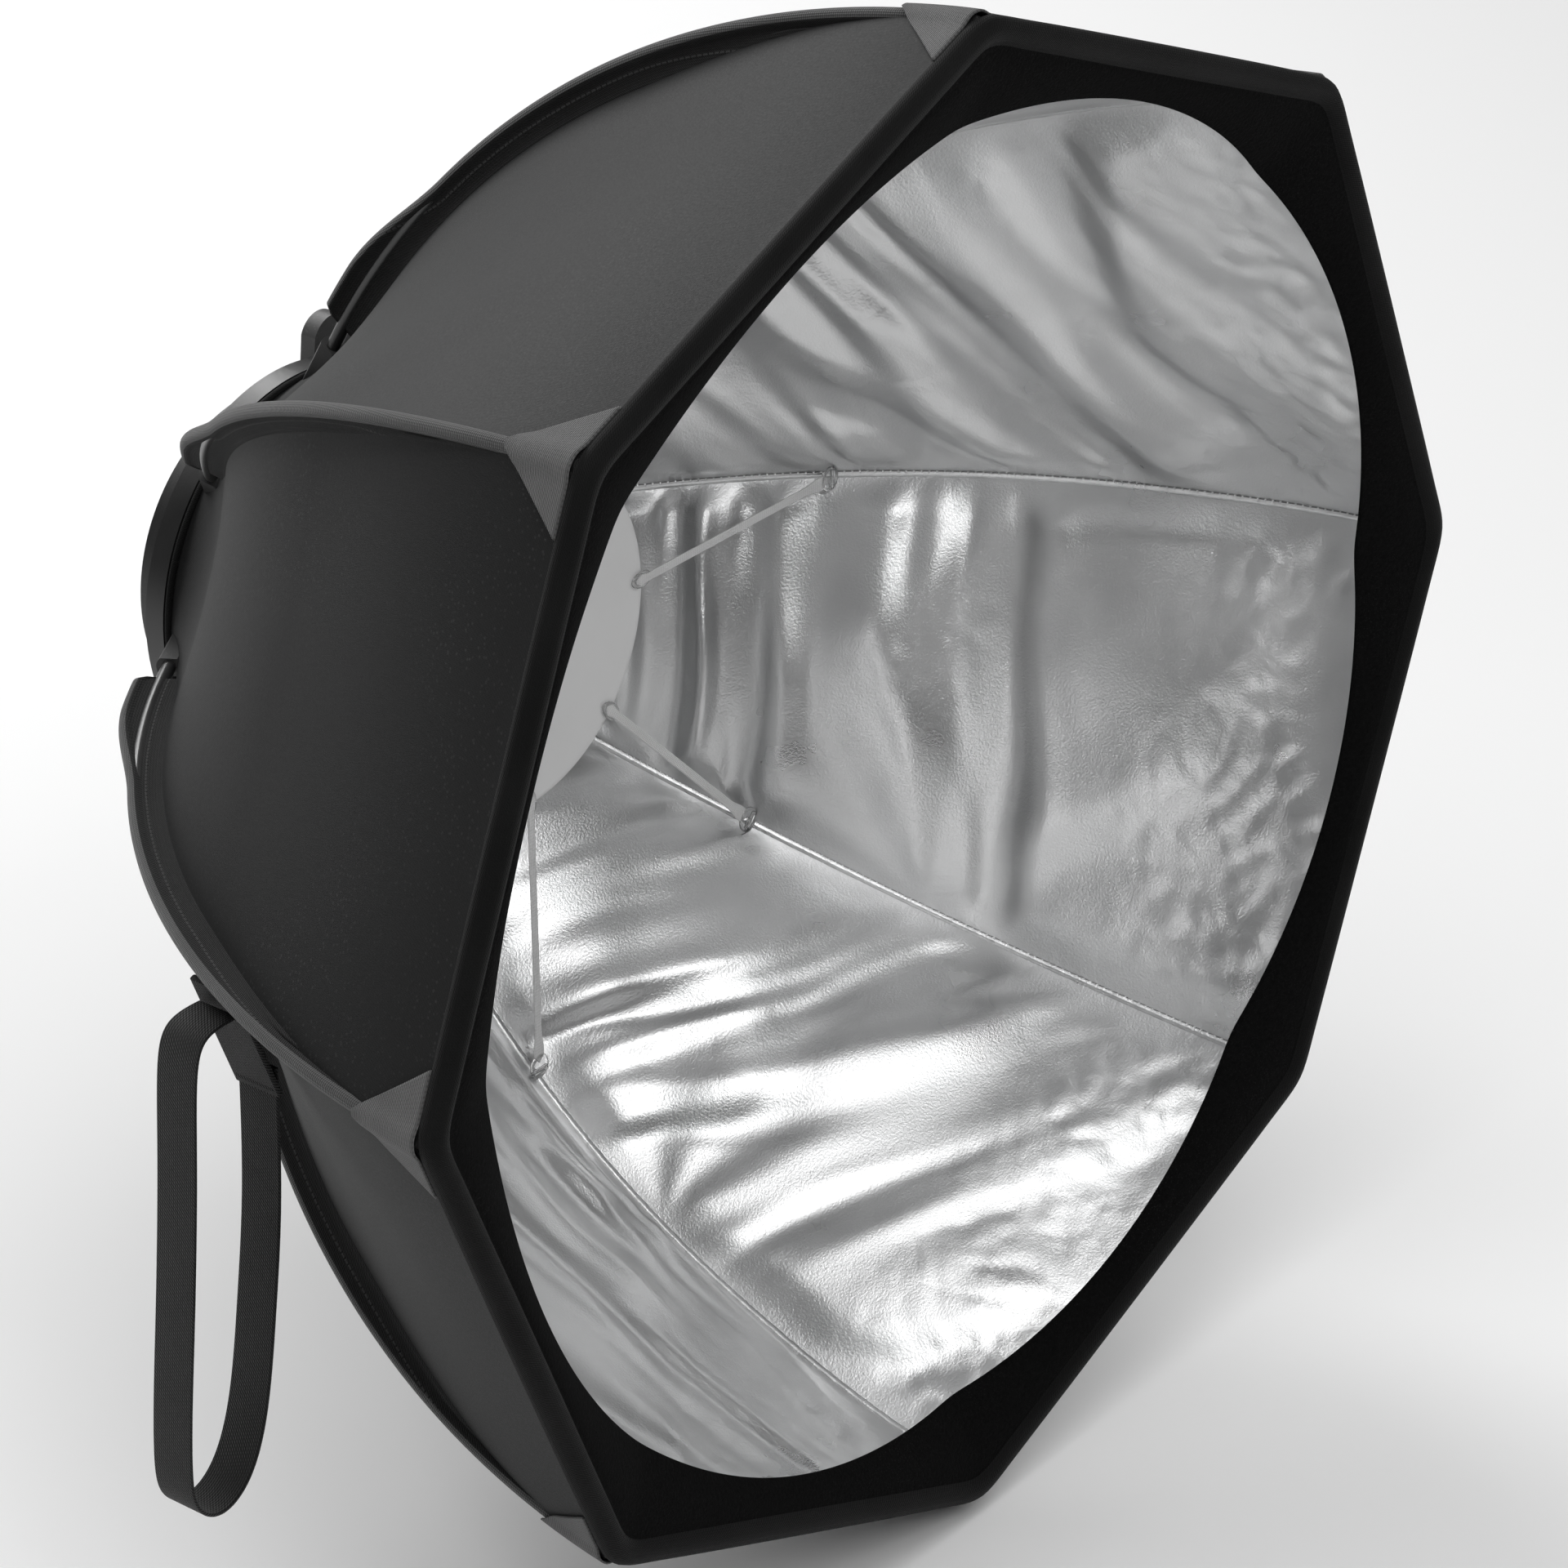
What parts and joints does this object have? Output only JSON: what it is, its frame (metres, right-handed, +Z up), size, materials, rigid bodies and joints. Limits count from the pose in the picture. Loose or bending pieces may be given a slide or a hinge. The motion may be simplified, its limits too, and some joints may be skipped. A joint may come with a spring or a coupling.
{
  "type": "collapsible octagonal beauty dish",
  "caption": "Folding octagonal reflector dish with hinged bowed ribs, silver lining, black lip with a round mouth, white deflector on elastic straps, turning speed ring and hanging strap.",
  "frame": {"origin": "centre of the mount ring's bore at its back face", "axes": "+Y along the dish's axis towards the lamp, the mouth looks along -Y, +Z up, rib 1 stands along +Z"},
  "size_m": [0.6606, 0.3925, 0.6606],
  "materials": {
    "ring_plastic": "moulded, fine texture",
    "lever_plastic": "moulded, satin",
    "cover_silver": "silvered",
    "steel": "zinc plated",
    "bracket_plastic": "glass-filled nylon",
    "rib_rod": "black spring steel",
    "sleeve_webbing": "ribbed webbing",
    "outer_cloth": "coated black nylon",
    "silver_lining": "metallised cloth",
    "lip_cloth": "black loop velour",
    "binding": "rolled binding tape",
    "deflector_plastic": "white, satin",
    "elastic": "flat white elastic",
    "strap_webbing": "twill webbing",
    "clear_plastic": "clear moulded plastic"
  },
  "bodies": {
    "mount": {"mount_ring": "ring_plastic", "retaining_ring": "ring_plastic", "ring_screws": "steel", "hub_cover": "cover_silver", "lever_pin": "steel"},
    "turning_ring": {"rib_ring": "ring_plastic", "hinge_pins": "steel", "deflector_disc": "deflector_plastic", "elastic_straps": "elastic"},
    "lever": {"lock_lever": "lever_plastic"},
    "rib_1": {"bracket_1": "bracket_plastic", "rod_1": "rib_rod", "sleeve_1": "sleeve_webbing", "outer_gore_1": "outer_cloth", "inner_gore_1": "silver_lining", "lip_1": "lip_cloth"},
    "rib_2": {"bracket_2": "bracket_plastic", "rod_2": "rib_rod", "sleeve_2": "sleeve_webbing", "outer_gore_2": "outer_cloth", "inner_gore_2": "silver_lining", "lip_2": "lip_cloth"},
    "rib_3": {"bracket_3": "bracket_plastic", "rod_3": "rib_rod", "sleeve_3": "sleeve_webbing", "outer_gore_3": "outer_cloth", "inner_gore_3": "silver_lining", "lip_3": "lip_cloth"},
    "rib_4": {"bracket_4": "bracket_plastic", "rod_4": "rib_rod", "sleeve_4": "sleeve_webbing", "outer_gore_4": "outer_cloth", "inner_gore_4": "silver_lining", "lip_4": "lip_cloth"},
    "rib_5": {"bracket_5": "bracket_plastic", "rod_5": "rib_rod", "sleeve_5": "sleeve_webbing", "outer_gore_5": "outer_cloth", "inner_gore_5": "silver_lining", "lip_5": "lip_cloth"},
    "rib_6": {"bracket_6": "bracket_plastic", "rod_6": "rib_rod", "sleeve_6": "sleeve_webbing", "outer_gore_6": "outer_cloth", "inner_gore_6": "silver_lining", "lip_6": "lip_cloth"},
    "rib_7": {"bracket_7": "bracket_plastic", "rod_7": "rib_rod", "sleeve_7": "sleeve_webbing", "outer_gore_7": "outer_cloth", "inner_gore_7": "silver_lining", "lip_7": "lip_cloth"},
    "rib_8": {"bracket_8": "bracket_plastic", "rod_8": "rib_rod", "sleeve_8": "sleeve_webbing", "outer_gore_8": "outer_cloth", "inner_gore_8": "silver_lining", "lip_8": "lip_cloth"},
    "strap": {"strap_tab": "strap_webbing", "strap_loop": "strap_webbing"}
  },
  "joints": [
    {"name": "ring_turn", "type": "hinge", "parent": "mount", "child": "turning_ring", "pos_m": [0, 0, 0], "axis": [0, 1, 0], "continuous": true},
    {"name": "rib_1_fold", "type": "hinge", "parent": "turning_ring", "child": "rib_1", "pos_m": [0, -0.035, 0.081], "axis": [1, 0, 0], "range_deg": [0, 32], "deforming": ["outer_gore_1", "inner_gore_1", "lip_1", "elastic_straps"]},
    {"name": "rib_2_fold", "type": "hinge", "parent": "turning_ring", "child": "rib_2", "pos_m": [0.05728, -0.035, 0.05728], "axis": [0.7071, 0, -0.7071], "range_deg": [0, 32], "deforming": ["outer_gore_2", "inner_gore_2", "lip_2"]},
    {"name": "rib_3_fold", "type": "hinge", "parent": "turning_ring", "child": "rib_3", "pos_m": [0.081, -0.035, 0], "axis": [0, 0, -1], "range_deg": [0, 32], "deforming": ["outer_gore_3", "inner_gore_3", "lip_3"]},
    {"name": "rib_4_fold", "type": "hinge", "parent": "turning_ring", "child": "rib_4", "pos_m": [0.05728, -0.035, -0.05728], "axis": [-0.7071, 0, -0.7071], "range_deg": [0, 32], "deforming": ["outer_gore_4", "inner_gore_4", "lip_4"]},
    {"name": "rib_5_fold", "type": "hinge", "parent": "turning_ring", "child": "rib_5", "pos_m": [0, -0.035, -0.081], "axis": [-1, 0, 0], "range_deg": [0, 32], "deforming": ["outer_gore_5", "inner_gore_5", "lip_5"]},
    {"name": "rib_6_fold", "type": "hinge", "parent": "turning_ring", "child": "rib_6", "pos_m": [-0.05728, -0.035, -0.05728], "axis": [-0.7071, 0, 0.7071], "range_deg": [0, 32], "deforming": ["outer_gore_6", "inner_gore_6", "lip_6"]},
    {"name": "rib_7_fold", "type": "hinge", "parent": "turning_ring", "child": "rib_7", "pos_m": [-0.081, -0.035, 0], "axis": [0, 0, 1], "range_deg": [0, 32], "deforming": ["outer_gore_7", "inner_gore_7", "lip_7"]},
    {"name": "rib_8_fold", "type": "hinge", "parent": "turning_ring", "child": "rib_8", "pos_m": [-0.05728, -0.035, 0.05728], "axis": [0.7071, 0, 0.7071], "range_deg": [0, 32], "deforming": ["outer_gore_8", "inner_gore_8", "lip_8"]},
    {"name": "lever_swing", "type": "hinge", "parent": "mount", "child": "lever", "pos_m": [0.02537, -0.0115, 0.06125], "axis": [0, 1, 0], "range_deg": [0, 65]},
    {"name": "strap_swing", "type": "hinge", "parent": "rib_7", "child": "strap", "pos_m": [-0.2806, -0.24, -0.0062], "axis": [0, 1, 0], "range_deg": [0, 62]}
  ],
  "couplings": [
    {"joint": "rib_2_fold", "follows": "rib_1_fold", "ratio": 1},
    {"joint": "rib_3_fold", "follows": "rib_1_fold", "ratio": 1},
    {"joint": "rib_4_fold", "follows": "rib_1_fold", "ratio": 1},
    {"joint": "rib_5_fold", "follows": "rib_1_fold", "ratio": 1},
    {"joint": "rib_6_fold", "follows": "rib_1_fold", "ratio": 1},
    {"joint": "rib_7_fold", "follows": "rib_1_fold", "ratio": 1},
    {"joint": "rib_8_fold", "follows": "rib_1_fold", "ratio": 1}
  ]
}
